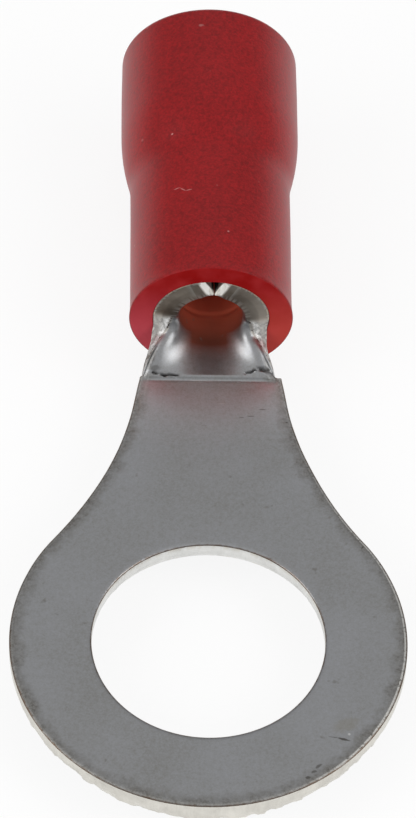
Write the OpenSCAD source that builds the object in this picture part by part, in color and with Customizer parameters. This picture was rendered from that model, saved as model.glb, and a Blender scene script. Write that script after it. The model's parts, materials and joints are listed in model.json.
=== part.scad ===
// Insulated crimp ring terminal for thin wire and a 1/4 in or M6 stud.
// The ring, neck and barrel are one piece of tin-plated copper sheet. A soft
// sleeve grips the barrel and flares at its back end for the wire to enter.
// The origin is at the middle of the stud hole, on the tongue's underside,
// with +Z up through the hole and +Y along the barrel. Sizes are millimetres.

/* [Ring] */
// Diameter of the stud hole
stud_hole_d = 6.75; // [5.2:0.05:8.2]
// Outer diameter of the ring
ring_d = 11.43; // [9.5:0.01:14]
// Thickness of the flattened tongue
tongue_t = 0.70; // [0.55:0.01:0.77]

/* [Neck] */
// Length of the neck, from the ring's edge to the crease where flattening ends
neck_l = 3.835; // [3.3:0.005:6]
// Width of the flattened neck at the crease
neck_w = 4.16; // [3.4:0.01:5]
// Angle at which each side of the neck spreads towards the ring
neck_spread = 10.8; // [6:0.1:16]
// Straight length of each side of the neck, from the crease to the hollow curve
neck_straight_l = 1.16; // [0.3:0.01:2]
// How far flattening pushes out each side of the neck
coin_push = 0.08; // [0:0.01:0.15]

/* [Sheet and curl] */
// Thickness of the sheet where it isn't flattened
sheet_t = 0.79; // [0.6:0.01:0.95]
// Length over which the flat neck curls up to the barrel's radius
curl_l = 1.4; // [1.1:0.05:2]
// Radius in the corner between the neck's edge and the barrel's front edge
corner_r = 0.3; // [0.1:0.01:0.4]
// Rounding along the upper edges of the curl
curl_edge_r = 0.16; // [0.05:0.01:0.25]

/* [Barrel] */
// Inner diameter of the barrel
barrel_id = 1.87; // [1.5:0.01:2.3]
// Length of the barrel
barrel_l = 4.75; // [3.9:0.05:6]
// Width of the gap between the two edges that meet along the top
seam_gap = 0.04; // [0.02:0.01:0.12]
// Width of the groove along the outside of the seam
seam_top_w = 0.22; // [0.1:0.01:0.4]
// Depth of the groove along the outside of the seam
seam_top_depth = 0.29; // [0.1:0.01:0.35]
// Width of the groove along the inside of the seam
seam_low_w = 0.5; // [0.1:0.01:0.6]
// Depth of the groove along the inside of the seam
seam_low_depth = 0.2; // [0.05:0.01:0.25]
// Width broken off each wing's front corner at the seam, on the outside
nip_w = 0.34; // [0.2:0.01:0.5]
// Width broken off each wing's front corner at the seam, on the inside
nip_low_w = 0.12; // [0.1:0.01:0.2]

/* [Wire grip rings] */
// Number of grooves round the inside of the barrel
grip_count = 3; // [1:1:4]
// Distance from the barrel's front edge to the first groove
grip_first = 0.78; // [0.5:0.01:1]
// Distance from one groove to the next
grip_pitch = 1.2; // [0.6:0.05:1.2]
// Width of a groove
grip_w = 0.16; // [0.08:0.01:0.3]
// Depth of a groove
grip_depth = 0.07; // [0.03:0.01:0.15]

/* [Sleeve] */
// Length of the sleeve
sleeve_l = 10.0; // [8.5:0.05:12.5]
// Wall of the sleeve around the barrel
sleeve_wall = 0.67; // [0.4:0.01:0.9]
// Space between the barrel and the sleeve, on the radius
sleeve_fit = 0.02; // [0.01:0.01:0.05]
// Inner diameter of the flared back end
entry_id = 4.05; // [3.8:0.01:4.5]
// Wall of the flared back end
entry_wall = 0.67; // [0.4:0.01:0.9]
// Length of the flare
flare_l = 2.35; // [1.5:0.05:3]
// Share of the flare that curves outward before it curves back
flare_knee = 0.28; // [0.15:0.01:0.6]
// Rounding of the edges at the wire entry
entry_round = 0.08; // [0.02:0.01:0.15]
// How far the front edge stands out, where the tube was cut off
lip_out = 0.03; // [0.01:0.01:0.08]
// Length of the lip at the front edge
lip_l = 0.5; // [0.2:0.05:1]

/* [Hidden] */
tin = [0.62, 0.62, 0.61];
red = [0.62, 0.06, 0.07];

crease_y = ring_d / 2 + neck_l;
barrel_ir = barrel_id / 2;
barrel_or = barrel_ir + sheet_t;
barrel_front = crease_y + curl_l;
// The barrel's underside is level with the tongue's
axis_z = barrel_or;
sleeve_bore_r = barrel_or + sleeve_fit;
sleeve_r = sleeve_bore_r + sleeve_wall;
entry_bore_r = entry_id / 2;
entry_r = entry_bore_r + entry_wall;
// The flare starts a little before the barrel ends
flare_start = barrel_l - 0.1;
round_fn = 144;
cut = 1;

// The curl's skin lies this far inside the barrel's and the tongue's
weld = 0.02;
// The barrel and the tongue overlap the curl by this much
lap = 0.3;
curl_steps = 12;
curl_ribs = 16;
edge_steps = 3;
curl_t = sheet_t - 2 * weld;
mid_r = barrel_ir + sheet_t / 2;
raw_half_w = neck_w / 2 - coin_push;

// The neck's hollow curve runs on from the straight side and touches the ring
curve_steps = 28;
side_out = [cos(neck_spread), sin(neck_spread)];
side_up = [-sin(neck_spread), cos(neck_spread)];
curve_start = [neck_w / 2, crease_y] - neck_straight_l * side_up;
neck_curve_r = (curve_start * curve_start - pow(ring_d / 2, 2)) / (ring_d - 2 * curve_start * side_out);
curve_c = curve_start + neck_curve_r * side_out;
curve_a0 = 180 + neck_spread;
curve_a1 = 180 + atan2(curve_c[1], curve_c[0]);

// The right side of the neck, from the crease to just short of the ring
function neck_side() = concat(
    [[neck_w / 2, crease_y + lap / 4]],
    [for (i = [0 : curve_steps - 1])
        let (a = curve_a0 + (curve_a1 - curve_a0) * i / curve_steps)
        curve_c + neck_curve_r * [cos(a), sin(a)]],
    [0.9 * ring_d / 2 * [-cos(curve_a1), -sin(curve_a1)]]
);

function reversed(list) = [for (i = [len(list) - 1 : -1 : 0]) list[i]];

function flipped(faces) = [for (f = faces) reversed(f)];

function mirrored(points) = [for (i = [len(points) - 1 : -1 : 0]) [-points[i][0], points[i][1]]];

module tongue() {
    difference() {
        union() {
            cylinder(h = tongue_t, d = ring_d, $fn = round_fn);
            linear_extrude(tongue_t) polygon(concat(neck_side(), mirrored(neck_side())));
        }
        translate([0, 0, -cut]) cylinder(h = tongue_t + 2 * cut, d = stud_hole_d, $fn = round_fn);
    }
}

// Half width of the flat sheet at y, with the hollow corner at the barrel
function sheet_half_w(y) =
    let (d = barrel_front - y)
    raw_half_w - (y - crease_y) * tan(neck_spread)
    + (d < corner_r ? corner_r - sqrt(pow(corner_r, 2) - pow(corner_r - max(d, 0), 2)) : 0);

// The sheet's outline across y, as places along it and across its thickness
function sheet_outline(w, t, r) = concat(
    [for (i = [0 : curl_ribs]) [-w + 2 * w * i / curl_ribs, -t / 2]],
    [for (i = [0 : edge_steps]) let (a = 90 * i / edge_steps) [w - r + r * cos(a), t / 2 - r + r * sin(a)]],
    [for (i = [1 : curl_ribs - 1]) [(w - r) * (1 - 2 * i / curl_ribs), t / 2]],
    [for (i = [0 : edge_steps]) let (a = 90 + 90 * i / edge_steps) [-w + r + r * cos(a), t / 2 - r + r * sin(a)]]
);

// Faces that close one end, from the lower side across to the upper one, for
// an outline whose points start at number k
function end_faces(k) =
    let (over = k + curl_ribs + 1 + edge_steps)
    concat(
        [for (i = [0 : curl_ribs - 1]) [k + i, k + i + 1, over + curl_ribs - i - 1, over + curl_ribs - i]],
        [for (i = [0 : edge_steps - 1]) [k + curl_ribs, over - edge_steps + i, over - edge_steps + i + 1]],
        [for (i = [0 : edge_steps - 1]) [k, over + curl_ribs + i, over + curl_ribs + i + 1]]
    );

// A place on the outline once the sheet is bent to a radius about the axis
function bent(place, bend_r, y) =
    let (a = place[0] / bend_r * 180 / PI, r = bend_r - place[1])
    [r * sin(a), y, sheet_t / 2 + bend_r - r * cos(a)];

function curl_ring(y, bend_r, w, t, r) = [for (place = sheet_outline(w, t, r)) bent(place, bend_r, y)];

// The bend grows evenly from nothing at the crease to the barrel's radius
function curl_station(i) =
    let (share = i / curl_steps, y = crease_y + curl_l * share)
    curl_ring(y, mid_r / max(share, 0.0001), sheet_half_w(y), curl_t, curl_edge_r);

module curl() {
    // The first ring lies within the tongue and the last within the barrel
    rings = concat(
        [curl_ring(crease_y - lap / 6, 20 * mid_r, raw_half_w - lap, tongue_t - lap, lap / 6)],
        [for (i = [0 : curl_steps]) curl_station(i)],
        [curl_ring(barrel_front + lap, mid_r, sheet_half_w(barrel_front), curl_t, curl_edge_r)]
    );
    n = len(rings[0]);
    last = len(rings) - 1;
    sides = [for (j = [0 : last - 1], i = [0 : n - 1])
        [j * n + i, j * n + (i + 1) % n, (j + 1) * n + (i + 1) % n, (j + 1) * n + i]];
    points = [for (ring = rings) each ring];
    polyhedron(points = points, faces = concat(flipped(end_faces(0)), sides, end_faces(last * n)));
}

// Lays what is drawn along Z down along the barrel's axis, from its front edge
module along_barrel() {
    translate([0, barrel_front, axis_z]) rotate([-90, 0, 0]) children();
}

// A groove of triangular section, w wide at its mouth, pointing away from it
module seam_groove(mouth_r, tip_r, w) {
    translate([0, 0, -cut])
        linear_extrude(barrel_l + 2 * cut)
            polygon([[-w / 2, -mouth_r], [w / 2, -mouth_r], [0, -tip_r]]);
}

// The broken corners: a notch, square in plan, that widens towards the outside
module front_nip() {
    over = 0.1;
    spread = (nip_w - nip_low_w) / sheet_t * over;
    low_w = nip_low_w - spread;
    rotate([90, 0, 0])
        translate([0, 0, barrel_ir - over])
            linear_extrude(sheet_t + 2 * over, scale = (nip_w + spread) / low_w)
                polygon([[-low_w, 0], [0, -low_w], [low_w, 0], [0, low_w]]);
}

module barrel() {
    // The grooves' mouths are drawn past the wall, with their slopes kept
    top_over = (seam_top_depth + cut) / seam_top_depth;
    low_over = (seam_low_depth + barrel_ir / 2) / seam_low_depth;
    along_barrel()
        difference() {
            cylinder(h = barrel_l, r = barrel_or, $fn = round_fn);
            translate([0, 0, -cut]) cylinder(h = barrel_l + 2 * cut, r = barrel_ir, $fn = round_fn);
            for (i = [0 : grip_count - 1])
                translate([0, 0, grip_first + i * grip_pitch])
                    cylinder(h = grip_w, r = barrel_ir + grip_depth, $fn = round_fn);
            translate([-seam_gap / 2, -barrel_or - cut, -cut])
                cube([seam_gap, barrel_or + cut, barrel_l + 2 * cut]);
            seam_groove(barrel_or + cut, barrel_or - seam_top_depth, seam_top_w * top_over);
            seam_groove(barrel_ir / 2, barrel_ir + seam_low_depth, seam_low_w * low_over);
            front_nip();
        }
}

module terminal() {
    color(tin) {
        tongue();
        curl();
        barrel();
    }
}

// The flare from radius r0 to r1: one arc that leaves the straight tube and
// one that comes back to it, with the same slope where they meet
function flare(r0, r1, y0) =
    let (a = 2 * atan((r1 - r0) / flare_l), sum_r = flare_l / sin(a), n = 8)
    concat(
        [for (i = [0 : n]) let (b = a * i / n, r = sum_r * flare_knee) [r0 + r * (1 - cos(b)), y0 + r * sin(b)]],
        [for (i = [n - 1 : -1 : 0])
            let (b = a * i / n, r = sum_r * (1 - flare_knee))
            [r1 - r * (1 - cos(b)), y0 + flare_l - r * sin(b)]]
    );

module sleeve() {
    e = entry_round;
    profile = concat(
        [[sleeve_bore_r, 0]],
        [for (i = [0 : 4]) let (share = i / 4) [sleeve_r + lip_out * pow(1 - share, 2), lip_l * share]],
        flare(sleeve_r, entry_r, flare_start),
        [for (i = [0 : 4]) let (a = 90 * i / 4) [entry_r - e + e * cos(a), sleeve_l - e + e * sin(a)]],
        [for (i = [0 : 4]) let (a = 90 + 90 * i / 4) [entry_bore_r + e + e * cos(a), sleeve_l - e + e * sin(a)]],
        reversed(flare(sleeve_bore_r, entry_bore_r, flare_start))
    );
    color(red) along_barrel() rotate_extrude($fn = round_fn) polygon(profile);
}

terminal();
sleeve();
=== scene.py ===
import json
import math

import bmesh
import bpy
import numpy as np
from mathutils import Matrix, Vector, noise
from mathutils.geometry import delaunay_2d_cdt


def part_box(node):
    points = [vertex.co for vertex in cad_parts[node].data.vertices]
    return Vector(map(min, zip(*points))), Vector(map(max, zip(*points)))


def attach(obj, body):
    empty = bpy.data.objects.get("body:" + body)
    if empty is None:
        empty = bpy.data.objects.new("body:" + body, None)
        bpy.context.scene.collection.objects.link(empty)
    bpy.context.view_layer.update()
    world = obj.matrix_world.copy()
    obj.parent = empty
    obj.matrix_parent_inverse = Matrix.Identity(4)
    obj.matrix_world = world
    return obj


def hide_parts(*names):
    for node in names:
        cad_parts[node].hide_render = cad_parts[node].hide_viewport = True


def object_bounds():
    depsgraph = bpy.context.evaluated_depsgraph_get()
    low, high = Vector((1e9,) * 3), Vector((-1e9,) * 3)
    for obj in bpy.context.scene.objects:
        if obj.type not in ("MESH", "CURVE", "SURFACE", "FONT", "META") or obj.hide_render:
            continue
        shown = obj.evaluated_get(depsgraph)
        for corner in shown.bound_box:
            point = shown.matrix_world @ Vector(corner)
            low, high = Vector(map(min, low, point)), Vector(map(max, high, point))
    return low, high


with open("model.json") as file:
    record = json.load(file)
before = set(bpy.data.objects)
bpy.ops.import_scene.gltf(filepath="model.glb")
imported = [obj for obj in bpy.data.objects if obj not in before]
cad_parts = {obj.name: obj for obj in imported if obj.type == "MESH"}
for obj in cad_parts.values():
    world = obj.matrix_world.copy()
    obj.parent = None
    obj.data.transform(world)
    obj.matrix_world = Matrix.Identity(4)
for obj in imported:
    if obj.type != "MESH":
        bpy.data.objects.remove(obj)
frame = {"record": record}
cad_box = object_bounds()
mm = 0.001

# ---------------------------------------------------------------------------
# The metal: one blank of tin-plated copper sheet. It is stamped flat, its
# tongue is squeezed thinner, and its two wings are rolled up until their
# edges meet in a seam on top. All of it is drawn on the flat blank and bent.
# ---------------------------------------------------------------------------
mounts = {mount["name"]: mount for mount in frame["record"]["mounts"]}
hole_r = mounts["stud_hole"]["dims"]["r_mm"] * mm
tongue_t = mounts["stud_hole"]["dims"]["length_mm"] * mm
barrel_ir = mounts["wire_barrel"]["dims"]["r_mm"] * mm
barrel_l = mounts["wire_barrel"]["dims"]["length_mm"] * mm
barrel_mid_y, axis_z = mounts["wire_barrel"]["pos_m"][1:]
metal_low, metal_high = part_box("terminal")

# The punch smeared the ring's rim out by a little
rim_smear = 0.035 * mm
ring_r = (metal_high[0] - metal_low[0]) / 2 + rim_smear
sheet_t = axis_z - barrel_ir
mid_r = barrel_ir + sheet_t / 2
front_y = barrel_mid_y - barrel_l / 2
rear_y = barrel_mid_y + barrel_l / 2
curl_l = 1.4 * mm
crease_y = front_y - curl_l
neck_half = 2.08 * mm
neck_spread = math.radians(10.8)
neck_curve_r = 11.5 * mm
coin_step_l = 0.13 * mm
# Squeezing the tongue pushed its right side out further past the curl
coin_push = {1: 0.04 * mm, -1: 0.02 * mm}
curl_half = {1: 1.96 * mm, -1: 2.06 * mm}
curl_narrows = {1: 0.26, -1: 0.19}
coin_fade_l = 1.6 * mm
corner_r = 0.3 * mm
tip_r = 0.07 * mm
seam_gap = 0.02 * mm
# Rolling left the wings' edges thinner, so the barrel comes to a point inside
seam_thin, seam_thin_w = 0.15 * mm, 0.45 * mm
grip_y = [front_y + (0.78 + 1.2 * i) * mm for i in range(3)]
grip_w = 0.16 * mm
grip_depth = 0.025 * mm


def wander(x, y, size, seed=0.0):
    """Smooth unevenness from -1 to 1, over features of the given size."""
    return noise.noise(Vector((x / size, y / size, seed)))


def lean(y):
    """How far to the right of the ring's middle the neck and the barrel stand."""
    rise = min(max((y - 3.5 * mm) / (3 * mm), 0.0), 1.0)
    return 0.045 * mm * rise * rise * (3 - 2 * rise) - 0.0075 * max(0.0, y - front_y)


def bent(s, y, n):
    """Where a place on the flat sheet goes once it is rolled: s across it,
    y along it and n up from the middle of its thickness."""
    share = min(max((y - crease_y) / curl_l, 0.0), 1.0)
    if share < 1e-4:
        return s + lean(y), y, sheet_t / 2 + n
    bend_r = mid_r / share
    r = bend_r - n
    # One wing is a little longer, so the seam stands to the right of the middle
    drift = 0.03 * mm - 0.11 * mm * (s / (math.pi * mid_r)) ** 2
    turn = (s + drift * share) / bend_r
    return r * math.sin(turn) + lean(y), y, sheet_t / 2 + bend_r - r * math.cos(turn)


def arc(cx, cy, r, a0, a1, step):
    """Places along an arc, its first end left out."""
    count = max(2, int(abs(a1 - a0) * r / step))
    angles = [a0 + (a1 - a0) * i / count for i in range(1, count + 1)]
    return [(cx + r * math.cos(a), cy + r * math.sin(a)) for a in angles]


def line(x0, y0, x1, y1, step):
    """Places along a straight line, its first end left out."""
    count = max(1, int(math.hypot(x1 - x0, y1 - y0) / step))
    return [(x0 + (x1 - x0) * i / count, y0 + (y1 - y0) * i / count) for i in range(1, count + 1)]


def half_outline(side):
    """One half of the blank's edge, from the ring's end round to the barrel's
    back edge, as (s, y, kind of edge)."""
    out = []

    def add(places, kind):
        out.extend((x, y, kind) for x, y in places)

    # The neck's hollow curve touches the ring and the neck's straight side
    c_out = neck_half * math.cos(neck_spread) + crease_y * math.sin(neck_spread) + neck_curve_r
    c_up = math.sqrt((ring_r + neck_curve_r) ** 2 - c_out ** 2)
    cx = c_out * math.cos(neck_spread) - c_up * math.sin(neck_spread)
    cy = c_out * math.sin(neck_spread) + c_up * math.cos(neck_spread)
    meet = math.atan2(cy, cx)
    add(arc(0, 0, ring_r, -math.pi / 2, meet, 0.09 * mm), "ring")
    add(arc(cx, cy, neck_curve_r, meet + math.pi, math.pi + neck_spread, 0.09 * mm), "ring")
    add(line(out[-1][0], out[-1][1], neck_half, crease_y, 0.08 * mm), "ring")
    # Above the crease the sheet keeps its stamped width
    raw, slope = curl_half[side], curl_narrows[side]
    start = crease_y + 0.04 * mm
    root_y = front_y - corner_r
    root_x = raw - (root_y - crease_y) * slope
    add([(raw, start)], "curl")
    add(line(raw, start, root_x, root_y, 0.06 * mm), "curl")
    add(arc(root_x + corner_r, root_y, corner_r, math.pi, math.pi / 2, 0.04 * mm), "fillet")
    wing = math.pi * mid_r - seam_gap / 2
    add(line(root_x + corner_r, front_y, wing - tip_r, front_y, 0.06 * mm), "front")
    add(arc(wing - tip_r, front_y + tip_r, tip_r, -math.pi / 2, 0, 0.02 * mm), "seam")
    add(line(wing, front_y + tip_r, wing, rear_y - tip_r / 2, 0.08 * mm), "seam")
    add(arc(wing - tip_r / 2, rear_y - tip_r / 2, tip_r / 2, 0, math.pi / 2, 0.04 * mm), "rear")
    add(line(wing - tip_r / 2, rear_y, 0, rear_y, 0.08 * mm), "rear")
    return [(side * x, y, kind) for x, y, kind in out]


right, left = half_outline(1), half_outline(-1)
outline = right + left[:-1][::-1]
edge_xy = np.array([place[:2] for place in outline])
edge_kind = [place[2] for place in outline]

# The ring's shoulders are a little full, and the squeezed neck bulges at the crease
for i, (x, y) in enumerate(edge_xy):
    full = max(0.0, 1 - ((y - 4.6 * mm) / (2.3 * mm)) ** 2)
    edge_xy[i, 0] += math.copysign(0.02 * mm * full, x)
    if y < crease_y + 1e-6 and y > crease_y - coin_fade_l and abs(x) < 4 * mm:
        side = 1 if x > 0 else -1
        fade = 1 - (crease_y - y) / coin_fade_l
        edge_xy[i, 0] += side * coin_push[side] * fade * fade * (3 - 2 * fade)
ahead, behind = np.roll(edge_xy, -1, axis=0), np.roll(edge_xy, 1, axis=0)
along = ahead - behind
along /= np.linalg.norm(along, axis=1)[:, None]
outward = np.stack([along[:, 1], -along[:, 0]], axis=1)

# Each kind of edge: width and depth of the rounding that the punch pulled in
# on the upper side, how far the lower corner lies in from the edge, how
# straight the rounding is, and how ragged its rim is
edge_form = {
    "ring": (0.15 * mm, 0.045 * mm, 0.02 * mm, 0.0, 0.35),
    "curl": (0.38 * mm, 0.28 * mm, 0.12 * mm, 0.0, 0.1),
    "fillet": (0.28 * mm, 0.20 * mm, 0.08 * mm, 0.0, 0.1),
    "front": (0.20 * mm, 0.10 * mm, 0.03 * mm, 0.4, 0.0),
    "seam": (0.10 * mm, 0.04 * mm, 0.34 * mm, 0.6, 0.1),
    "rear": (0.10 * mm, 0.05 * mm, 0.02 * mm, 0.0, 0.3),
}
form = np.array([edge_form[kind] for kind in edge_kind])
for _ in range(4):
    form = (np.roll(form, 1, axis=0) + form * 2 + np.roll(form, -1, axis=0)) / 4
hole_form = (0.12 * mm, 0.045 * mm, 0.13 * mm, 0.0, 0.3)


def from_edge(places):
    """Distance of each place from the blank's edge, and the nearest edge place."""
    away = np.empty(len(places))
    near = np.empty(len(places), dtype=int)
    for k in range(0, len(places), 500):
        gap = np.linalg.norm(places[k:k + 500, None, :] - edge_xy[None, :, :], axis=2)
        near[k:k + 500] = gap.argmin(axis=1)
        away[k:k + 500] = gap.min(axis=1)
    return away, near


def inside(places):
    """Whether each place is inside the blank's edge, the hole not counted."""
    x, y = places[:, 0], places[:, 1]
    hit = np.zeros(len(places), dtype=bool)
    for (x0, y0), (x1, y1) in zip(edge_xy, ahead):
        cross = (y0 > y) != (y1 > y)
        if cross.any():
            hit ^= cross & (x < x0 + (y - y0) * (x1 - x0) / (y1 - y0 if y1 != y0 else 1e-12))
    return hit


def rows(stops, step):
    """Heights from the first stop to the last, through each one between."""
    out = []
    for low, high in zip(stops, stops[1:]):
        count = max(1, round((high - low) / step))
        out += [low + (high - low) * i / count for i in range(count)]
    return out + [stops[-1]]


# Places inside the blank: close where it is rolled, and open where it is flat
groove_sides = (-0.01 * mm, 0.035 * mm, grip_w - 0.035 * mm, grip_w + 0.01 * mm)
groove_stops = [y + side for y in grip_y for side in groove_sides]
crease_rows = rows([crease_y - coin_step_l - 0.03 * mm, crease_y + 0.32 * mm], 0.032 * mm)
rolled_stops = [crease_y + 0.39 * mm, front_y - 0.03 * mm, front_y + 0.03 * mm] + groove_stops + [rear_y]
rolled = rows(rolled_stops, 0.085 * mm)
wing = math.pi * mid_r
fill = [(s, y) for y in crease_rows for s in np.arange(-2.2 * mm, 2.2 * mm, 0.045 * mm)]
fill += [(s, y) for y in rolled for s in np.arange(-wing, wing, 0.085 * mm)]
flat_top = crease_y - coin_step_l - 0.1 * mm
wide_step = 0.24 * mm
wide_x, wide_y = np.arange(-ring_r, ring_r, wide_step), np.arange(-ring_r, flat_top, wide_step)
fill += [(x, y) for x in wide_x for y in wide_y]
fill = np.array(fill)
fill = fill[inside(fill) & (np.hypot(fill[:, 0], fill[:, 1]) > hole_r + 0.3 * mm)]
fill = fill[from_edge(fill)[0] > np.where(fill[:, 1] > crease_y, 0.30 * mm, 0.24 * mm)]
for inset in (0.025, 0.06, 0.10, 0.15, 0.21, 0.28):
    ring_in = edge_xy - outward * inset * mm
    keep = inside(ring_in) & (from_edge(ring_in)[0] > inset * mm * 0.93)
    fill = np.vstack([fill, ring_in[keep]])
hole_count = 260
hole_turn = np.arange(hole_count) * 2 * math.pi / hole_count
hole_dir = np.stack([np.cos(hole_turn), np.sin(hole_turn)], axis=1)
for inset in (0.02, 0.05, 0.09, 0.14, 0.22):
    fill = np.vstack([fill, hole_dir * (hole_r + inset * mm)])

flat_xy = np.vstack([edge_xy, hole_dir * hole_r, fill])
edge_count = len(edge_xy)
loop = [(i, (i + 1) % edge_count) for i in range(edge_count)]
loop += [(edge_count + i, edge_count + (i + 1) % hole_count) for i in range(hole_count)]
scaled = [Vector((float(x) / mm, float(y) / mm)) for x, y in flat_xy]
found = delaunay_2d_cdt(scaled, loop, [], 1, 1e-7, True)
place_of = [ids[0] if ids else None for ids in found[3]]
tri = np.array([[place_of[i] for i in face] for face in found[2]])
middle_of = flat_xy[tri].mean(axis=1)
tri = tri[inside(middle_of) & (np.linalg.norm(middle_of, axis=1) > hole_r)]

away, near = from_edge(flat_xy)
from_hole = np.hypot(flat_xy[:, 0], flat_xy[:, 1]) - hole_r
away[:edge_count] = 0
from_hole[edge_count:edge_count + hole_count] = 0


def rounding(gap, width, depth, straight):
    """How far the upper side dips at a gap from an edge that is rounded off,
    or bevelled where straight is 1."""
    t = max(0.0, 1 - gap / width)
    return depth * ((1 - straight) * (1 - math.sqrt(max(0.0, 1 - t * t))) + straight * t)


def upper(i):
    """Height of the sheet's upper side over its middle, which is the inside
    of the barrel."""
    s, y = flat_xy[i]
    width, depth, _, straight, rough = form[near[i]]
    ragged = 1 + rough * (0.6 * wander(s, y, 0.16 * mm, 3.0) + 0.4 * wander(s, y, 0.06 * mm, 4.0))
    n = sheet_t / 2 - rounding(away[i], width * max(ragged, 0.1), depth, straight)
    n -= rounding(from_hole[i], *hole_form[:2], 0.0)
    squeeze = min(max((crease_y - y) / coin_step_l, 0.0), 1.0)
    n -= (sheet_t - tongue_t) * squeeze * squeeze * (3 - 2 * squeeze)
    if y > front_y:
        for start in grip_y:
            if start < y < start + grip_w:
                n -= grip_depth
    if y > front_y - 0.05 * mm:
        n -= seam_thin * max(0.0, 1 - (wing - abs(s)) / seam_thin_w)
    if away[i] > 0 and from_hole[i] > 0:
        n += 0.003 * mm * wander(s, y, 1.7 * mm, 9.0)
    return n


# Where the bend starts, the plating cracked. Each crack has its two ends, how
# far behind the crease each of them lies, and its half width
cracks = (
    (-1.92 * mm, -1.54 * mm, 0.10 * mm, 0.02 * mm, 0.008 * mm),
    (-1.56 * mm, -0.88 * mm, 0.00 * mm, 0.01 * mm, 0.016 * mm),
    (0.98 * mm, 1.46 * mm, 0.08 * mm, 0.16 * mm, 0.012 * mm),
    (1.42 * mm, 1.92 * mm, 0.19 * mm, 0.13 * mm, 0.046 * mm),
)
crack_depth = 0.06 * mm


def cracked(x, y):
    """How deep in a crack a place is, from 0 to 1."""
    deep = 0.0
    if abs(y - crease_y) < 0.3 * mm:
        for low, high, up_low, up_high, half in cracks:
            if low < x < high:
                up = up_low + (up_high - up_low) * (x - low) / (high - low)
                path = crease_y + up + 0.03 * mm * wander(x, 0, 0.16 * mm, 31.0)
                half *= 1 + 0.6 * wander(x, 0, 0.1 * mm, 32.0)
                ends = min(1.0, (x - low) / (0.15 * mm), (high - x) / (0.15 * mm))
                deep = max(deep, ends * (1 - abs(y - path) / (half + 0.02 * mm)))
    return min(1.0, deep * 1.6)


# The wings' front corners are nipped off towards the outside of the barrel:
# this far across, and this far back along the seam. The nips' painted
# highlight reaches twice as far across
corner_out, corner_long = 0.31 * mm, 0.65 * mm
corner_seen = 0.62 * mm


def nipped(x, y):
    """Pulls a place on the lower side back from the wing's nipped corner."""
    cx, cy = wing - corner_out, front_y + corner_long
    dx, dy = (abs(x) - cx) / corner_out, (y - cy) / corner_long
    far = math.hypot(dx, dy)
    if y > front_y - corner_r and dx > 0 and dy < 0 and far > 1:
        return math.copysign(cx + corner_out * dx / far, x), cy + corner_long * dy / far
    return x, y


def lower_edge(i):
    """Where the blank's edge lies on the sheet's lower side."""
    x, y = nipped(*(flat_xy[i] - outward[i] * form[i][2]))
    if edge_kind[i] == "ring":
        # The sheet broke further in at the ring's sides than at its end
        torn = 0.10 * mm * min(1.0, abs(x) / (3.6 * mm)) + 0.06 * mm * burr(y, -x)
        torn = max(torn, -0.03 * mm)
        x, y = x - outward[i][0] * torn, y - outward[i][1] * torn
    return x, y


def burr(x, y):
    """How far the broken lower edge is torn out or in, in uneven steps."""
    step = 0.26 * mm
    run = math.atan2(y, x) * ring_r / step + 0.8 * wander(x, y, 0.5 * mm, 21.0)
    flat = noise.cell(Vector((math.floor(run) * 1.7 + 0.3, 0.5, 0.5)))
    return 0.6 * flat - 0.3 + 0.45 * wander(x, y, 0.12 * mm, 22.0)


# On the lower side, the places this near to an edge or the hole make room for
# it, and burrs on the ring's lower edge rise by this much
edge_room, hole_room = 0.42 * mm, 0.32 * mm
burr_rise = 0.09 * mm
# How far down the cut wall each row of places is, and its share of the way in
straight_wall = ((0.0, 0.0), (0.28, 0.0), (0.55, 0.0), (0.62, 0.15), (0.70, 0.45), (0.86, 0.75), (1.0, 1.0))
bevel_wall = ((0.0, 0.0), (0.12, 0.02), (0.3, 0.22), (0.5, 0.45), (0.7, 0.68), (0.86, 0.85), (1.0, 1.0))
verts, faces, face_mat = [], [], []
attrs = {name: [] for name in ("rim_gap", "hole_gap", "run", "depth", "front", "curl", "corner",
                               "hole", "inner", "crack")}


def put(s, y, n, **values):
    """Adds a place of the mesh, with what the materials need to know of it."""
    verts.append(bent(s, y, n))
    for name, given in attrs.items():
        given.append(values.get(name, 0.0))
    return len(verts) - 1


total = len(flat_xy)
for i in range(total):
    crack = cracked(*flat_xy[i])
    put(flat_xy[i, 0], flat_xy[i, 1], upper(i) - crack * crack_depth, rim_gap=away[i] / mm,
        hole_gap=from_hole[i] / mm, inner=1.0, crack=crack)
for i in range(total):
    s, y = flat_xy[i]
    n = -sheet_t / 2
    if i < edge_count:
        s, y = lower_edge(i)
        if edge_kind[i] == "ring":
            n += burr_rise * max(0.0, burr(*flat_xy[i]))
    elif i < edge_count + hole_count:
        s, y = hole_dir[i - edge_count] * (hole_r + hole_form[2])
    else:
        pull = max(0.0, 1 - away[i] / edge_room) * (np.array(lower_edge(near[i])) - edge_xy[near[i]])
        pull = pull + flat_xy[i] / np.hypot(s, y) * hole_form[2] * max(0.0, 1 - from_hole[i] / hole_room)
        s, y = nipped(*(flat_xy[i] + pull))
    put(s, y, n, rim_gap=away[i] / mm, hole_gap=from_hole[i] / mm)
for a, b, c in tri.tolist():
    faces += [(a, b, c), (total + a, total + c, total + b)]
    face_mat += [0, 0]


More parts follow.
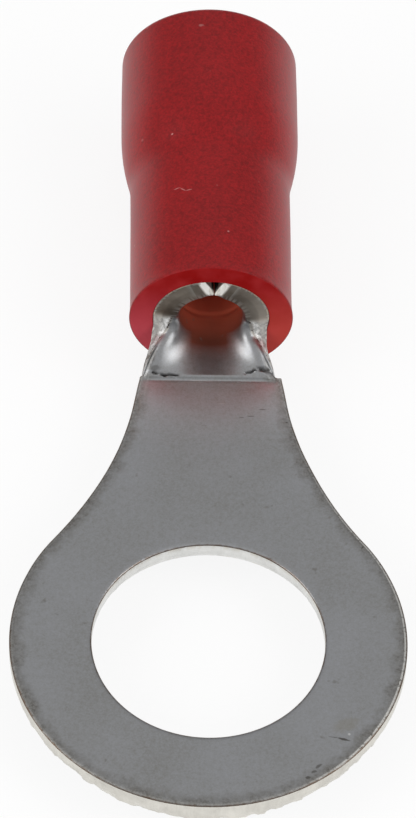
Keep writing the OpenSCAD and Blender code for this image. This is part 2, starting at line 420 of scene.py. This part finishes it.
def wall(start, count, levels_of, known_of):
    """The cut wall between the upper and the lower side of one closed loop."""
    loop_xy = flat_xy[start:start + count]
    run = np.concatenate([[0], np.cumsum(np.linalg.norm(np.diff(loop_xy, axis=0), axis=1))]) / mm
    grid = []
    for i in range(count):
        top = upper(start + i)
        x0, y0 = loop_xy[i]
        x1, y1 = lower_edge(i) if start == 0 else loop_xy[i] * (1 + hole_form[2] / hole_r)
        column = []
        for level, way_in in levels_of(i):
            s, y = x0 + (x1 - x0) * way_in, y0 + (y1 - y0) * way_in
            n = top + (-sheet_t / 2 - top) * level
            if 0.5 < level < 1 and y0 < crease_y:
                n += 0.05 * mm * wander(x0, y0, 0.2 * mm, 11.0)
            column.append(put(s, y, n, run=run[i], depth=level, **known_of(i)))
        verts[column[-1]] = verts[total + start + i]
        grid.append(column)
    for i in range(count):
        j = (i + 1) % count
        for k in range(len(straight_wall) - 1):
            faces.append((grid[i][k], grid[i][k + 1], grid[j][k + 1], grid[j][k]))
            face_mat.append(1)


on_barrel = (edge_xy[:, 1] > front_y - 0.01 * mm) & (edge_xy[:, 1] < rear_y - tip_r)
is_corner = on_barrel & (np.abs(edge_xy[:, 0]) > wing - corner_out)
by_seam = on_barrel & (np.abs(edge_xy[:, 0]) > wing - corner_seen)
kinds = np.array([[kind == "front" and not by_seam[i], kind in ("curl", "fillet"), by_seam[i]]
                  for i, kind in enumerate(edge_kind)], dtype=float)
for _ in range(3):
    wide = kinds[:, :2]
    kinds[:, :2] = (np.roll(wide, 1, axis=0) + wide * 2 + np.roll(wide, -1, axis=0)) / 4
# Only the front of the seam gets the nips' painted highlight
shut = np.clip((edge_xy[:, 1] - front_y - 0.03 * mm) / (0.15 * mm), 0, 1) * kinds[:, 2]
kinds[:, 2] -= shut
kinds[:, 0] += shut
wall(0, edge_count, lambda i: bevel_wall if is_corner[i] else straight_wall,
     lambda i: dict(zip(("front", "curl", "corner"), kinds[i].tolist())))
wall(edge_count, hole_count, lambda i: straight_wall, lambda i: {"hole": 1.0})

mesh = bpy.data.meshes.new("terminal_metal")
mesh.from_pydata([tuple(v) for v in verts], [], faces)
mesh.update()
for name, values in attrs.items():
    mesh.attributes.new(name, "FLOAT", "POINT").data.foreach_set("value", values)
mesh.polygons.foreach_set("material_index", face_mat)
bm = bmesh.new()
bm.from_mesh(mesh)
bmesh.ops.remove_doubles(bm, verts=bm.verts, dist=1e-7)
bmesh.ops.recalc_face_normals(bm, faces=bm.faces)
bm.to_mesh(mesh)
bm.free()
mesh.polygons.foreach_set("use_smooth", [True] * len(mesh.polygons))
mesh.set_sharp_from_angle(angle=math.radians(42))
metal = bpy.data.objects.new("terminal_metal", mesh)
bpy.context.scene.collection.objects.link(metal)


class Wire:
    """One output of a shader node. Arithmetic on wires adds Math nodes, and
    make() adds any other node."""

    def __init__(self, tree, socket):
        self.tree, self.socket = tree, socket

    def make(self, kind, settings, sockets, out=0):
        new = self.tree.nodes.new(kind)
        for name, value in settings.items():
            if name == "stops":
                ramp = new.color_ramp
                while len(ramp.elements) < len(value):
                    ramp.elements.new(1.0)
                for stop, (at, level) in zip(ramp.elements, value):
                    stop.position = at
                    stop.color = level if isinstance(level, tuple) else (level, level, level, 1)
            else:
                setattr(new, name, value)
        for name, value in sockets.items():
            if isinstance(value, Wire):
                self.tree.links.new(value.socket, new.inputs[name])
            else:
                new.inputs[name].default_value = value
        return Wire(self.tree, new.outputs[out])

    def math(self, operation, *others):
        sockets = {i: value for i, value in enumerate((self,) + others)}
        return self.make("ShaderNodeMath", {"operation": operation}, sockets)

    def __add__(self, other):
        return self.math("ADD", other)

    __radd__ = __add__

    def __mul__(self, other):
        return self.math("MULTIPLY", other)

    __rmul__ = __mul__

    def __sub__(self, other):
        return self.math("SUBTRACT", other)

    def __rsub__(self, other):
        return self.make("ShaderNodeMath", {"operation": "SUBTRACT"}, {0: other, 1: self})

    def part(self, axis):
        """One of a vector's three numbers: 0 is x, 1 is y and 2 is z."""
        return self.make("ShaderNodeSeparateXYZ", {}, {"Vector": self}, axis)

    def known(self, name):
        """What the mesh says of each place, under the given name."""
        return self.make("ShaderNodeAttribute", {"attribute_name": name}, {}, 2)

    def share(self, start, end):
        """How far this value has come from the start to the end, from 0 to 1."""
        return self.make("ShaderNodeMapRange", {}, {0: self, 1: start, 2: end})

    def ramp(self, *stops):
        """A colour ramp over this value, or a ramp of greys from plain numbers."""
        return self.make("ShaderNodeValToRGB", {"stops": stops}, {"Fac": self})

    def noise(self, scale, detail=3.0, roughness=0.55):
        return self.make("ShaderNodeTexNoise", {}, {"Vector": self, "Scale": scale, "Detail": detail,
                                                   "Roughness": roughness})

    def mix(self, low, high):
        """The low colour where this value is 0, and the high one where it is 1."""
        return self.make("ShaderNodeMix", {"data_type": "RGBA"}, {0: self, 6: low, 7: high}, 2)

    def stretched(self, x, y, z):
        return self.make("ShaderNodeVectorMath", {"operation": "MULTIPLY"}, {0: self, 1: (x, y, z)})

    def scaled(self, factor):
        return self.make("ShaderNodeVectorMath", {"operation": "SCALE"}, {0: self, "Scale": factor})

    def spot(self, x, y, turn, half_l, half_w):
        """A ragged oval seen from above, 1 inside it and 0 outside, with its
        place and half sizes in millimetres and its turn in degrees."""
        middle = (x * mm, y * mm, 0)
        place = self.make("ShaderNodeVectorRotate", {"rotation_type": "Z_AXIS"},
                          {"Vector": self, "Center": middle, "Angle": -math.radians(turn)})
        place = place.make("ShaderNodeVectorMath", {"operation": "SUBTRACT"}, {0: place, 1: middle})
        far = place.stretched(1 / (half_l * mm), 1 / (half_w * mm), 0)
        far = far.make("ShaderNodeVectorMath", {"operation": "LENGTH"}, {0: far}, 1)
        ragged = far + self.noise(9000.0, 2.0) * 0.9 - 0.45
        return ragged.share(1.0, 0.55)


def new_finish(name, roughness, metallic=0.0):
    """A material with one Principled shader, and a wire of object coordinates."""
    material = bpy.data.materials.new(name)
    material.use_nodes = True
    tree = material.node_tree
    shader = tree.nodes["Principled BSDF"]
    shader.inputs["Roughness"].default_value = roughness
    shader.inputs["Metallic"].default_value = metallic
    coords = Wire(tree, tree.nodes.new("ShaderNodeTexCoord").outputs["Object"])
    return material, shader, coords


def feed(shader, name, wire):
    """Links a wire to one of the shader's sockets."""
    wire.tree.links.new(wire.socket, shader.inputs[name])


def bump(height, strength, distance):
    """A Normal wire from a height wire."""
    return height.make("ShaderNodeBump", {}, {"Height": height, "Strength": strength, "Distance": distance})


def tin_finish():
    """Satin tin: an even grey, faintly mottled, with pits and fine scratches.
    It is blotchy and darker where the punch pulled the outer rim down, and
    the copper shows through along the rims and, in part, inside the barrel.
    Painted light is laid on it too: a highlight along the rim, a paler neck,
    a dark red-brown reflection in the trough before the barrel, red light
    inside the barrel, and dark reflections at the curl's sides."""
    material, shader, at = new_finish("tin_plate", 0.3, 1.0)

    rim, hole, inner, crack = (at.known(name) for name in ("rim_gap", "hole_gap", "inner", "crack"))
    across, along = at.part(0), at.part(1)
    broad = at.noise(420.0, 2.0)
    fine = at.noise(7000.0, 3.0, 0.7)
    tiny = at.noise(19000.0, 2.0, 0.6)
    tone = broad * 0.30 + fine * 0.35 + tiny * 0.35
    grey = tone.ramp((0.32, (0.375, 0.37, 0.355, 1)), (0.5, (0.462, 0.468, 0.478, 1)),
                     (0.68, (0.525, 0.535, 0.565, 1)))
    blotch = at.noise(11000.0, 4.0, 0.8)
    patch = at.noise(2300.0, 3.0, 0.65)
    flat_part = along.share(crease_y + 0.1 * mm, crease_y)
    rim_dark = (rim + patch * 0.8 - 0.43).ramp((0.0, 1.0), (0.10, 0.8), (0.42, 0.0)) * flat_part
    olive = blotch.ramp((0.36, (0.15, 0.135, 0.11, 1)), (0.64, (0.40, 0.39, 0.37, 1)))
    grey = (rim_dark * 0.75).mix(grey, olive)
    # A painted highlight along the rim: patchy, and brightest at the ring's right
    right_side = across.share(2.6 * mm, 4.4 * mm)
    painted_rim_highlight = (rim - 0.065).math("ABSOLUTE").ramp((0.0, 1.0), (0.018, 0.9), (0.034, 0.0))
    painted_rim_highlight = painted_rim_highlight * blotch.ramp((0.36, 0.0), (0.46, 1.0))
    grey = (painted_rim_highlight * (right_side * 0.75 + 0.15) * flat_part).mix(grey, (0.93, 0.92, 0.88, 1))
    line = (rim.math("MINIMUM", hole) + fine * 0.06 + patch * 0.09 - 0.08).ramp((0.0, 1.0), (0.045, 0.0))
    grey = (line * flat_part * 0.8).mix(grey, (0.19, 0.115, 0.07, 1))
    grey = (crack * 0.9).mix(grey, (0.03, 0.02, 0.015, 1))
    # Painted light: the neck is painted paler towards the curled part, where it mirrors the lit sleeve
    # front
    painted_neck_light = along.share(crease_y - 3.0 * mm, crease_y)
    painted_neck_light = painted_neck_light * painted_neck_light * along.share(crease_y - 0.1 * mm, crease_y - 0.25 * mm)
    grey = grey.scaled(painted_neck_light * 0.65 + 1)
    # Painted reflection: the trough's middle before the barrel is painted dark red-brown, darker towards
    # its walls, for the mirrored sleeve and dark barrel. Inside the barrel the red is partly copper through
    # the thin tin and partly painted red light from the sleeve
    mid = across.math("ABSOLUTE").share(1.1 * mm, 0.5 * mm)
    mouth_reflection = along.share(front_y - 1.1 * mm, front_y - 0.25 * mm) * mid
    barrel = along.share(front_y - 0.2 * mm, front_y + 0.1 * mm)
    barrel = barrel.math("MAXIMUM", mouth_reflection) * inner
    barrel = barrel * (rim - 0.05).ramp((0.0, 0.0), (0.16, 1.0))
    deep = along.share(front_y - 0.1 * mm, front_y + 0.9 * mm)
    mouth_reflection_tone = mid.mix((0.085, 0.021, 0.009, 1), (0.21, 0.046, 0.020, 1))
    grey = (barrel * 0.95).mix(grey, deep.mix(mouth_reflection_tone, (0.78, 0.17, 0.085, 1)))
    pits = at.noise(2600.0, 2.0).ramp((0.70, 0.0), (0.76, 1.0))
    grey = (pits * 0.45).mix(grey, (0.22, 0.20, 0.17, 1))
    # Nicks, scratches, a stain and painted dark reflections: place, turn, half sizes, strength and tone
    dark, pale, stain = (0.10, 0.09, 0.075, 1), (0.80, 0.80, 0.80, 1), (0.38, 0.34, 0.25, 1)
    marks = (
        (3.87, -3.41, -16, 0.20, 0.045, 0.8, dark), (3.57, -3.34, -9, 0.16, 0.02, 0.5, dark),
        (4.02, -3.23, 0, 0.045, 0.045, 1.0, pale), (3.94, -2.91, 27, 0.50, 0.26, 0.28, stain),
        (3.14, -4.33, 40, 0.14, 0.05, 0.6, dark), (3.00, -4.53, 20, 0.10, 0.05, 0.6, dark),
        (2.83, -4.73, 0, 0.09, 0.06, 0.7, dark), (1.59, 8.36, 1, 0.13, 0.02, 0.6, dark),
        (1.24, 8.10, 1, 0.13, 0.02, 0.6, dark), (0.97, 8.05, 3, 0.10, 0.02, 0.5, dark),
        (0.41, 8.57, 1, 0.13, 0.015, 0.6, pale), (1.12, 9.03, -2, 0.13, 0.015, 0.6, pale),
        (-0.37, 9.36, 4, 0.72, 0.018, 0.7, pale), (-0.30, 9.41, -2, 0.40, 0.015, 0.6, pale),
        (4.49, 3.35, 60, 0.08, 0.03, 0.6, dark), (2.30, 7.89, 0, 0.05, 0.04, 0.6, dark),
        # The dark patches at -1.72, -1.62 and 1.72 across, on the curl's two sides, are painted dark
        # reflections of the dim studio
        (-1.72, 9.98, 64, 0.38, 0.13, 0.62, dark), (-1.62, 9.72, 0, 0.25, 0.08, 0.45, dark),
        (1.72, 9.86, 120, 0.26, 0.09, 0.5, dark), (-1.86, 9.2, 80, 0.5, 0.05, 0.3, pale),
    )
    for x, y, turn, half_l, half_w, strength, tone in marks:
        grey = (at.spot(x, y, turn, half_l, half_w) * strength).mix(grey, tone)
    feed(shader, "Base Color", grey)
    feed(shader, "Metallic", 1 - barrel * (deep * 0.25 + 0.3))
    curled = along.share(crease_y, crease_y + 0.3 * mm)
    feed(shader, "Roughness", fine * 0.16 + 0.24 + rim_dark * 0.15 + curled * 0.02)
    scratch = at.stretched(500.0, 9000.0, 500.0).noise(1.0, 2.0)
    height = fine * 0.6 + scratch * 0.25 + broad * 0.6 + blotch * rim_dark * 1.6
    feed(shader, "Normal", bump(height, 0.35, 0.004 * mm))
    return material


def cut_finish():
    """The cut edge of the sheet: bright and smeared down by the punch round
    the ring, brown and torn across the barrel's front, and split by a zigzag
    tear where the wings curl up. The nipped corners by the seam carry a
    painted highlight, and the V between them is painted black as shade."""
    material, shader, at = new_finish("tin_cut_edge", 0.42, 1.0)

    run, depth, hole = at.known("run"), at.known("depth"), at.known("hole")
    front, curl, corner = at.known("front"), at.known("curl"), at.known("corner")
    across, along, up = at.part(0), at.part(1), at.part(2)
    place = at.make("ShaderNodeCombineXYZ", {}, {"X": run * 6.0, "Y": depth * 0.9, "Z": 0.5})
    streak = place.noise(1.0, 4.0, 0.65)
    patch = at.noise(1300.0, 3.0)
    smear = streak * 0.5 + patch * 0.5
    rim_tone = smear.ramp((0.3, (0.60, 0.58, 0.53, 1)), (0.62, (0.82, 0.80, 0.74, 1)))
    hole_tone = smear.ramp((0.3, (0.66, 0.66, 0.64, 1)), (0.62, (0.86, 0.86, 0.84, 1)))
    tone = hole.mix(rim_tone, hole_tone)
    # The nips by the seam get a painted highlight: two bright bands that slant in to its inner edge
    through = up.share(axis_z + mid_r - sheet_t / 2, axis_z + mid_r + sheet_t / 2)
    seam_x = lean(front_y) + 0.08 * mm
    from_notch = (across - seam_x).math("ABSOLUTE") * (1 / mm) + 0.14 - through * 0.42
    nip_highlight = from_notch.ramp((0.0, 0.0), (0.03, 1.0), (0.22, 1.0), (0.31, 0.0)) * corner
    tone = nip_highlight.mix(tone, streak.ramp((0.4, (0.70, 0.67, 0.60, 1)), (0.5, (0.97, 0.95, 0.90, 1))))
    # A zigzag tear runs along the curl, with smooth metal above it. Below it
    # the metal is torn: bright next to the tear, and dull low down
    jagged = run.make("ShaderNodeCombineXYZ", {}, {"X": run * 10.0, "Y": 0.3, "Z": 0.7})
    past = depth - (jagged.noise(1.0, 3.0, 0.75) * 0.55 - 0.14)
    glitter = at.noise(9000.0, 3.0, 0.7)
    bright = glitter.ramp((0.38, (0.42, 0.42, 0.41, 1)), (0.60, (0.86, 0.86, 0.85, 1)))
    plain = glitter.ramp((0.38, (0.27, 0.26, 0.25, 1)), (0.60, (0.46, 0.45, 0.42, 1)))
    dull = glitter.ramp((0.40, (0.10, 0.08, 0.065, 1)), (0.62, (0.46, 0.44, 0.42, 1)))
    low = along.share(crease_y + 0.80 * mm, crease_y + 0.60 * mm)
    below = (past + low * 0.5).ramp((0.0, 0.0), (0.02, 1.0))
    outer = past.ramp((0.22, 0.0), (0.50, 1.0))
    curl_tone = below.mix((0.47, 0.475, 0.48, 1), low.mix(outer.mix(bright, plain), dull))
    tear = past.math("ABSOLUTE").ramp((0.0, 1.0), (0.03, 1.0), (0.055, 0.0))
    tone = curl.mix(tone, (tear * 0.95).mix(curl_tone, (0.055, 0.032, 0.02, 1)))
    # The barrel's front is brown, a little paler at the right, and cream along its outer
    # lip. The V of the seam is painted black, as painted shade
    torn = (streak * 0.2 + patch * 0.8).ramp((0.34, (0.20, 0.16, 0.125, 1)), (0.66, (0.46, 0.405, 0.34, 1)))
    torn = (across.share(0.5 * mm, 1.5 * mm) * 0.4).mix(torn, (0.66, 0.62, 0.56, 1))
    torn_part = corner.math("MAXIMUM", front)
    notch_shade = from_notch.ramp((0.0, 1.0), (0.02, 0.0)) * torn_part
    torn = (notch_shade * 0.9).mix(torn, (0.06, 0.03, 0.025, 1))
    lip_line = depth.ramp((0.0, 0.0), (0.93, 0.0), (0.97, 1.0), (1.0, 1.0)) * (1 - notch_shade)
    torn = (lip_line * 0.9).mix(torn, (0.85, 0.78, 0.62, 1))
    feed(shader, "Base Color", (torn_part * (1 - nip_highlight)).mix(tone, torn))
    feed(shader, "Metallic", 1 - nip_highlight * 0.7 - curl * below * 0.6)
    feed(shader, "Roughness", streak * 0.25 + 0.33 + front * 0.10 - curl * 0.08)
    feed(shader, "Normal", bump(streak * (1 - front * 0.9), 0.5, 0.01 * mm))
    return material


for material in (tin_finish(), cut_finish()):
    metal.data.materials.append(material)
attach(metal, "root")
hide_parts("terminal")

# ---------------------------------------------------------------------------
# The sleeve: a soft vinyl tube pushed onto the barrel. Its front is cut off
# square, which leaves a faint lip, and its back is flared for the wire.
# ---------------------------------------------------------------------------
sleeve_low, sleeve_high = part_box("sleeve")
entry_ir = mounts["wire_entry"]["dims"]["r_mm"] * mm
entry_or = (sleeve_high[0] - sleeve_low[0]) / 2
sleeve_l = sleeve_high[1] - sleeve_low[1]
sleeve_ir = axis_z + 0.012 * mm
sleeve_or = 2.415 * mm
back_taper = 0.02 * mm
flare_start = barrel_l - 0.1 * mm
flare_l = 2.35 * mm
flare_knee = 0.28


def flare(r0, r1, start, count):
    """The flare's outline: one arc away from the tube and one back to it."""
    a = 2 * math.atan((r1 - r0) / flare_l)
    total_r = flare_l / math.sin(a)
    knee, crown = total_r * flare_knee, total_r * (1 - flare_knee)
    angles = [a * i / count for i in range(count + 1)]
    out = [(r0 + knee * (1 - math.cos(t)), start + knee * math.sin(t)) for t in angles[:-1]]
    out += [(r1 - crown * (1 - math.cos(t)), start + flare_l - crown * math.sin(t)) for t in angles[::-1]]
    return out


def quarter(cx, cy, r, a0, count=5):
    """A rounded corner, from a0 on through a quarter turn."""
    angles = [a0 + math.pi / 2 * i / count for i in range(count + 1)]
    return [(cx + r * math.cos(t), cy + r * math.sin(t)) for t in angles]


edge_round = 0.035 * mm
lip = 0.03 * mm
lip_l = 0.55 * mm
back_round, back_outer_round = 0.08 * mm, 0.20 * mm
flare_end = flare_start + flare_l
back_or = entry_or - back_taper
# The profile starts inside the front rim and runs round the outside to the back
profile = quarter(sleeve_ir + edge_round, edge_round, edge_round, math.pi)
profile += [(sleeve_ir + (sleeve_or - sleeve_ir) * t, 0.0) for t in (0.25, 0.5, 0.75)]
# The knife's finish takes in the front and half of its inner rounding
cut_rows = range(3, len(profile))
profile += quarter(sleeve_or + lip - edge_round, edge_round, edge_round, -math.pi / 2)
profile += [(sleeve_or + lip * (1 - t) ** 2, lip_l * t) for t in (0.25, 0.5, 0.75, 1.0)]
profile += [(sleeve_or, lip_l + (flare_start - lip_l) * t / 14) for t in range(1, 14)]
profile += flare(sleeve_or, entry_or, flare_start, 12)
profile += [(entry_or - back_taper * (t / 10) ** 2,
             flare_end + (sleeve_l - back_outer_round - flare_end) * t / 10) for t in range(1, 10)]
profile += quarter(back_or - back_outer_round, sleeve_l - back_outer_round, back_outer_round, 0, 9)
profile += quarter(entry_ir + back_round, sleeve_l - back_round, back_round, math.pi / 2)
back_rim_y = sleeve_l - back_round
profile += [(entry_ir, back_rim_y - (back_rim_y - flare_end) * t / 6) for t in range(1, 6)]
profile += flare(sleeve_ir, entry_ir, flare_start, 8)[::-1]
profile += [(sleeve_ir, flare_start * (1 - t / 8)) for t in range(1, 8)]

turns = 128
verts, faces = [], []
for j in range(turns):
    turn = 2 * math.pi * j / turns
    for r, along_y in profile:
        soft = 0.0
        if r > entry_ir + 0.2 * mm or (r > sleeve_ir + 0.3 * mm and along_y < flare_start):
            round_it = Vector((math.cos(turn) * 1.2, math.sin(turn) * 1.2, along_y / (2.2 * mm)))
            soft = 0.010 * mm * noise.noise(round_it)
        y = front_y + along_y
        verts.append(((r + soft) * math.cos(turn) + lean(y), y, axis_z + (r + soft) * math.sin(turn)))
size = len(profile)
for j in range(turns):
    for k in range(size):
        a, b = j * size + k, j * size + (k + 1) % size
        c, d = (j + 1) % turns * size + (k + 1) % size, (j + 1) % turns * size + k
        faces.append((a, b, c, d))
mesh = bpy.data.meshes.new("sleeve_skin")
mesh.from_pydata(verts, [], faces)
bm = bmesh.new()
bm.from_mesh(mesh)
bmesh.ops.recalc_face_normals(bm, faces=bm.faces)
bm.to_mesh(mesh)
bm.free()
mesh.polygons.foreach_set("use_smooth", [True] * len(mesh.polygons))
skin = bpy.data.objects.new("sleeve_skin", mesh)
bpy.context.scene.collection.objects.link(skin)


def vinyl_finish():
    """Matt red vinyl with a fine grain, a stuck fibre and a few pale specks."""
    material, shader, at = new_finish("red_vinyl", 0.5)
    shader.inputs["Specular IOR Level"].default_value = 0.27
    shader.inputs["Sheen Weight"].default_value = 0.15
    shader.inputs["Sheen Roughness"].default_value = 0.4
    grain = at.noise(14000.0, 2.0, 0.7) * 0.7 + at.noise(6500.0, 1.0) * 0.3
    cloud = at.noise(500.0, 3.0)
    tone = grain * 0.85 + cloud * 0.15
    red = tone.ramp((0.37, (0.172, 0.003, 0.004, 1)), (0.63, (0.32, 0.006, 0.008, 1)))
    specks = at.noise(3300.0, 1.0).ramp((0.77, 0.0), (0.83, 1.0))
    red = (specks * 0.25).mix(red, (0.6, 0.35, 0.33, 1))
    # A stuck fibre and two specks: place, turn, half sizes and strength
    scuffs = (
        (-1.02, 14.17, 6, 0.12, 0.018, 0.45), (-0.84, 14.08, -42, 0.12, 0.018, 0.45),
        (-0.66, 14.02, 4, 0.11, 0.018, 0.45), (-1.17, 16.27, 0, 0.035, 0.035, 0.6),
        (0.51, 12.40, 0, 0.035, 0.035, 0.4),
    )
    for x, y, turn, half_l, half_w, strength in scuffs:
        red = (at.spot(x, y, turn, half_l, half_w) * strength).mix(red, (0.62, 0.34, 0.33, 1))
    feed(shader, "Base Color", red)
    feed(shader, "Roughness", grain * 0.18 + 0.34)
    feed(shader, "Normal", bump(grain + cloud * 0.5, 0.7, 0.008 * mm))
    return material


def vinyl_cut_finish():
    """The sleeve's front, where the knife cut it off: smoother and duller than
    the outside. It is painted deep red at the top as painted shade, paler
    low down at left and right as painted light from the table, and a little
    bluer at the left."""
    material, shader, at = new_finish("red_vinyl_cut", 0.55)
    shader.inputs["Specular IOR Level"].default_value = 0.10
    # Painted light and shade: the face is painted paler low down, where the table lights it, and deep red
    # at the top
    sides = at.part(0).share(-1.6 * mm, 1.6 * mm).mix((0.47, 0.054, 0.074, 1), (0.45, 0.044, 0.034, 1))
    red = at.part(2).share(axis_z - 0.7 * mm, axis_z + 1.5 * mm).mix(sides, (0.255, 0.002, 0.002, 1))
    cloud = at.noise(900.0, 3.0)
    red = cloud.ramp((0.45, 0.0), (0.75, 0.25)).mix(red, (0.62, 0.07, 0.08, 1))
    feed(shader, "Base Color", red)
    feed(shader, "Normal", bump(cloud, 0.3, 0.01 * mm))
    return material


skin.data.materials.append(vinyl_finish())
skin.data.materials.append(vinyl_cut_finish())
cut_of = [int(k in cut_rows) for _ in range(turns) for k in range(size)]
skin.data.polygons.foreach_set("material_index", cut_of)
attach(skin, "root")
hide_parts("sleeve")

# ---------------------------------------------------------------------------
# The table and the light: a plain white table in a grey studio, lit by two
# soft boxes at the sides and four wide fills.
# ---------------------------------------------------------------------------
floor_mesh = bpy.data.meshes.new("floor")
reach = 1.5
floor_z = min(cad_box[0][2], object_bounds()[0][2])
backdrop_share = 0.86
corners = [(x * reach, y * reach, floor_z) for x, y in ((-1, -1), (1, -1), (1, 1), (-1, 1))]
floor_mesh.from_pydata(corners, [], [(0, 1, 2, 3)])
floor = bpy.data.objects.new("floor", floor_mesh)
bpy.context.scene.collection.objects.link(floor)
white = bpy.data.materials.new("white_table")
white.use_nodes = True
tree = white.node_tree
tree.nodes.remove(tree.nodes["Principled BSDF"])
path = Wire(tree, tree.nodes.new("ShaderNodeLightPath").outputs["Is Camera Ray"])
glossy = Wire(tree, path.socket.node.outputs["Is Glossy Ray"])
clear = Wire(tree, path.socket.node.outputs["Is Transmission Ray"])
paper = path.make("ShaderNodeBsdfDiffuse", {}, {"Color": (0.95, 0.95, 0.95, 1)})
glow = path.make("ShaderNodeEmission", {}, {"Color": (1, 1, 1, 1), "Strength": 1.0})
seen = path.math("MAXIMUM", glossy).math("MAXIMUM", clear)
mixed = path.make("ShaderNodeMixShader", {}, {0: seen * backdrop_share, 1: paper, 2: glow})
tree.links.new(mixed.socket, tree.nodes["Material Output"].inputs["Surface"])
floor_mesh.materials.append(white)

# The studio is dim low down and grows paler overhead
world = bpy.data.worlds.new("studio")
world.use_nodes = True
bpy.context.scene.world = world
tree = world.node_tree
direction = Wire(tree, tree.nodes.new("ShaderNodeTexCoord").outputs["Generated"])
height = direction.part(2)
sky = height.ramp((0.0, 0.14), (0.35, 0.20), (0.62, 0.33), (0.80, 0.49), (1.0, 0.53))
tree.links.new(sky.socket, tree.nodes["Background"].inputs["Color"])

middle = Vector((0, (cad_box[0][1] + cad_box[1][1]) / 2, 0))


def soft_box(name, azimuth, elevation, wide, high, radiance):
    """A soft lamp that faces the object from half a metre away. Azimuth is
    in degrees from +Y towards +X."""
    across, up = math.radians(azimuth), math.radians(elevation)
    direction = Vector((math.sin(across) * math.cos(up), math.cos(across) * math.cos(up), math.sin(up)))
    lamp = bpy.data.lights.new(name, "AREA")
    lamp.shape = "ELLIPSE"
    lamp.size, lamp.size_y = wide, high
    lamp.energy = radiance * math.pi * math.pi * wide * high / 4
    stand = bpy.data.objects.new(name, lamp)
    stand.location = middle + direction * 0.5
    stand.rotation_euler = (middle - stand.location).to_track_quat("-Z", "Y").to_euler()
    bpy.context.scene.collection.objects.link(stand)
    return stand


soft_box("left_box", -95, 41, 0.26, 0.30, 2.1)
soft_box("right_box", 99, 44, 0.28, 0.34, 1.9)
# The fills lift the shade, and they aren't mirrored in the metal
for name, across, up, radiance in (("left_fill", -120, 22, 1.9), ("right_fill", 120, 22, 1.8),
                                    ("front_fill", 180, 14, 0.5), ("back_fill", 0, 30, 0.8)):
    soft_box(name, across, up, 0.50, 0.50, radiance).visible_glossy = False

# ---------------------------------------------------------------------------
# The camera: it looks down on the ring's end through a long lens, and is
# turned and rolled a degree or two.
# ---------------------------------------------------------------------------
aim = Vector((-0.024 * mm, 8.355 * mm, tongue_t))
elevation, azimuth, roll = math.radians(52.72), math.radians(-1.40), math.radians(-1.85)
distance = 175 * mm
ahead_xy = Vector((-math.sin(azimuth), math.cos(azimuth), 0))
look = ahead_xy * math.cos(elevation) - Vector((0, 0, math.sin(elevation)))
side = Vector((math.cos(azimuth), math.sin(azimuth), 0))
top = side.cross(look)
image_right = side * math.cos(roll) - top * math.sin(roll)
image_up = side * math.sin(roll) + top * math.cos(roll)
lens = bpy.data.cameras.new("camera")
lens.sensor_fit = "HORIZONTAL"
lens.sensor_width = 36
lens.lens = 510.1
lens.clip_start = 0.01
lens.clip_end = 10
camera = bpy.data.objects.new("camera", lens)
facing = Matrix((image_right, image_up, -look)).transposed().to_4x4()
camera.matrix_world = Matrix.Translation(aim - look * distance) @ facing
bpy.context.scene.collection.objects.link(camera)
bpy.context.scene.camera = camera
bpy.context.scene.view_settings.view_transform = "Standard"
